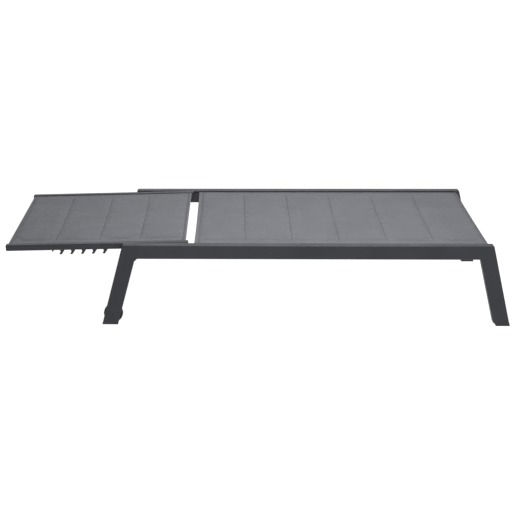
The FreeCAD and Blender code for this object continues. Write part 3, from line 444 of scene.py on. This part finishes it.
def inflate(piece, free):
    """Blow the free vertices up with a cloth simulation and return the new coordinates."""
    scene = bpy.context.scene
    group = piece.vertex_groups.new(name="sewn")
    group.add([int(i) for i in np.nonzero(~free)[0]], 1.0, "REPLACE")
    modifier = piece.modifiers.new("cloth", "CLOTH")
    settings = modifier.settings
    settings.quality = 4
    settings.mass = 0.3
    settings.tension_stiffness = 15
    settings.compression_stiffness = 15
    settings.shear_stiffness = 6
    settings.bending_stiffness = 0.4
    settings.use_pressure = True
    settings.uniform_pressure_force = CLOTH_PRESSURE
    settings.shrink_min = CLOTH_EXTRA
    settings.vertex_group_mass = "sewn"
    settings.effector_weights.gravity = 0
    modifier.collision_settings.use_collision = False
    modifier.collision_settings.use_self_collision = False
    modifier.point_cache.frame_start = 1
    modifier.point_cache.frame_end = CLOTH_FRAMES
    for number in range(1, CLOTH_FRAMES + 1):
        scene.frame_set(number)
    evaluated = piece.evaluated_get(bpy.context.evaluated_depsgraph_get())
    moved = np.zeros(len(evaluated.data.vertices) * 3, np.float32)
    evaluated.data.vertices.foreach_get("co", moved)
    piece.modifiers.remove(modifier)
    piece.vertex_groups.remove(group)
    scene.frame_set(1)
    return moved.reshape(-1, 3).astype(float)


class Sling:
    """One sling in its own level frame: quilted panels between sewn lines, plain webs at the sides."""

    def __init__(self, name, body, start, end, reach, quilt_half, seams, hems, bows, sag, to_row):
        self.name, self.body = name, body
        self.start, self.end, self.reach = start, end, reach
        self.quilt_half = quilt_half
        self.seams, self.hems = seams, hems
        self.bows = bows
        self.sag = sag
        self.to_row = to_row

    def fullness(self, x, y):
        """0 on webs, hems and seams, 1 in the middle of a panel."""
        lines = np.array([*self.seams, *self.hems])
        to_line = np.min(np.abs(x[..., None] - lines), axis=-1)
        to_side = self.quilt_half - np.abs(y)
        inside = (x > self.hems[0]) & (x < self.hems[1]) & (to_side > 0)
        rounded = smooth(to_line / PAD_RAMP) * smooth(to_side / (SIDE_RAMP * PAD_RAMP))
        return np.where(inside, np.sqrt(rounded), 0.0)

    def half_thickness(self, x):
        in_hem = np.minimum(x - self.hems[0], self.hems[1] - x) < 0
        edge = np.minimum(x - self.start, self.end - x)
        rounded = np.sqrt(np.clip(edge / (2 * HEM_HALF), 0.1, 1.0))
        return np.where(in_hem, HEM_HALF * rounded, WEB_HALF)

    def settle(self, points):
        """Bow the free ends inward, let the middle sag and add faint lengthwise wrinkles."""
        x, y, z = points.T
        middle = 1 - (y / self.reach) ** 2
        near_start = np.exp(-(x - self.start) / BOW_REACH)
        near_end = np.exp(-(self.end - x) / BOW_REACH)
        moved_x = x + middle * (self.bows[0] * near_start - self.bows[1] * near_end)
        along = np.clip((x - self.start) / (self.end - self.start), 0, 1)
        drop = self.sag * middle * (0.75 + 0.25 * np.sin(math.pi * along))
        wrinkle = np.array([noise.noise(Vector((px * 9.0, py * 55.0, 3.7 + px * 2.0)))
                            for px, py in zip(x, y)])
        ripple = np.array([noise.noise(Vector((px * 24.0, py * 24.0, 8.1))) for px, py in zip(x, y)])
        unevenness = FAINT_WRINKLE * wrinkle + FAINT_RIPPLE * ripple
        moved_z = z - drop + self.fullness(x, y) * unevenness
        return np.stack([moved_x, y, moved_z], axis=1)

    def build(self, material):
        columns = stations([self.start, self.hems[0], *self.seams, self.hems[1], self.end])
        rows = stations([-self.reach, -self.quilt_half, self.quilt_half, self.reach])
        grid_x, grid_y = np.meshgrid(columns, rows, indexing="ij")
        full = self.fullness(grid_x, grid_y)
        half = self.half_thickness(grid_x)
        top = half + START_RISE * full
        bottom = -half - START_RISE * FILLING_BELOW * full
        points, faces = sheet_of_two_layers(columns, rows, top, bottom)
        full_of_point = np.concatenate([full.ravel(), full.ravel()])
        mesh = bpy.data.meshes.new(self.name)
        mesh.from_pydata(points.tolist(), [], faces)
        mesh.materials.append(material)
        piece = bpy.data.objects.new(self.name, mesh)
        bpy.context.scene.collection.objects.link(piece)
        blown = inflate(piece, full_of_point > 0)
        step = blown - points
        length = np.linalg.norm(step, axis=1, keepdims=True)
        step *= np.minimum(1.0, CLOTH_CAP / np.maximum(length, 1e-9))
        puffed = points + step
        puffed[:, 2] = np.clip(puffed[:, 2], -WEB_HALF - BOTTOM_RISE, WEB_HALF + TOP_RISE)
        settled = self.to_row(self.settle(puffed))
        mesh.vertices.foreach_set("co", settled.astype(np.float32).ravel())
        mesh.polygons.foreach_set("use_smooth", [True] * len(mesh.polygons))
        mesh.update()
        subdivision = piece.modifiers.new("subdivision", "SUBSURF")
        subdivision.levels = 1
        subdivision.render_levels = 1
        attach(piece, self.body)
        return piece

    def stitch_lines(self):
        """(x, half width, half thickness) of each row of stitches."""
        lines = [(x, self.quilt_half, WEB_HALF) for x in self.seams]
        first, last = self.hems
        for x in (first, first - HEM_ROWS, last, last + HEM_ROWS):
            in_hem = x < first or x > last
            lines.append((x, self.reach - HEM_ROW_INSET, HEM_HALF if in_hem else WEB_HALF))
        return lines

    def stitch(self, material):
        """Short thread loops on both faces of every sewn line, as one piece."""
        around = THREAD_SIDES
        points = []
        faces = []
        for x, half_width, half_thickness in self.stitch_lines():
            count = int(2 * half_width / STITCH_PITCH)
            for face_side in (1, -1):
                for k in range(count):
                    middle_y = -half_width + (k + 0.5) * 2 * half_width / count
                    base = len(points)
                    for share, thick, rise in STITCH_RINGS:
                        for turn in range(around):
                            angle = 2 * math.pi * turn / around
                            height = rise + thick * math.sin(angle) * THREAD_FLATNESS
                            z = half_thickness + THREAD_RADIUS * height
                            points.append((x + THREAD_RADIUS * thick * math.cos(angle),
                                           middle_y + share * STITCH_LENGTH, face_side * z))
                    for ring in range(len(STITCH_RINGS) - 1):
                        for turn in range(around):
                            a = base + ring * around + turn
                            b = base + ring * around + (turn + 1) % around
                            quad = (a, b, b + around, a + around)
                            faces.append(quad if face_side < 0 else quad[::-1])
        settled = self.to_row(self.settle(np.array(points)))
        mesh = bpy.data.meshes.new(self.name + "_stitching")
        mesh.from_pydata(settled.tolist(), [], faces)
        mesh.polygons.foreach_set("use_smooth", [True] * len(mesh.polygons))
        mesh.materials.append(material)
        piece = bpy.data.objects.new(self.name + "_stitching", mesh)
        bpy.context.scene.collection.objects.link(piece)
        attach(piece, self.body)


def make_seat_sling(materials):
    low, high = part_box("seat_sling")
    web_height = low.z + SEAT_WEB_RISE

    def to_row(points):
        return points + np.array([0, 0, web_height])

    sling = Sling("seat_sling_fabric", "base", low.x, high.x, high.y, SEAT_QUILT_HALF, SEAT_SEAMS,
                  SEAT_HEMS, SEAT_BOWS, SEAT_SAG, to_row)
    fabric = sling.build(materials["sling_fabric"])
    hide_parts("seat_sling")
    sling.stitch(materials["thread"])


def make_back_sling(materials):
    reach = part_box("back_sling")[1].y
    turn = np.array([[math.cos(BACK_DROOP), 0, -math.sin(BACK_DROOP)],
                     [0, 1, 0],
                     [math.sin(BACK_DROOP), 0, math.cos(BACK_DROOP)]])

    def to_row(points):
        level = points + np.array([0, 0, BACK_GROOVE_RISE])
        return level @ turn.T + np.array(HINGE)

    sling = Sling("back_sling_fabric", "back", *BACK_ENDS, reach, BACK_QUILT_HALF, BACK_SEAMS,
                  BACK_HEMS, BACK_BOWS, BACK_SAG, to_row)
    fabric = sling.build(materials["sling_fabric"])
    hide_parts("back_sling")
    sling.stitch(materials["thread"])


# ------------------------------------------------------------------ CAD nodes

def slot_of_node(name):
    """The material slot that a CAD node's own material is named after."""
    owner = frame["nodes"][name]
    return owner.material_slots[0].material.name.split(".")[0]


def finish_cad_nodes(materials):
    for name, node in frame["nodes"].items():
        for item in node.material_slots:
            item.material = materials[slot_of_node(name)]


make_camera()
make_world()
make_floor()
make_area_light("key_light", KEY_LIGHT)
make_area_light("fill_light", FILL_LIGHT)
make_area_light("back_light", BACK_LIGHT)
MATERIALS = make_materials()
finish_cad_nodes(MATERIALS)
make_seat_sling(MATERIALS)
make_back_sling(MATERIALS)
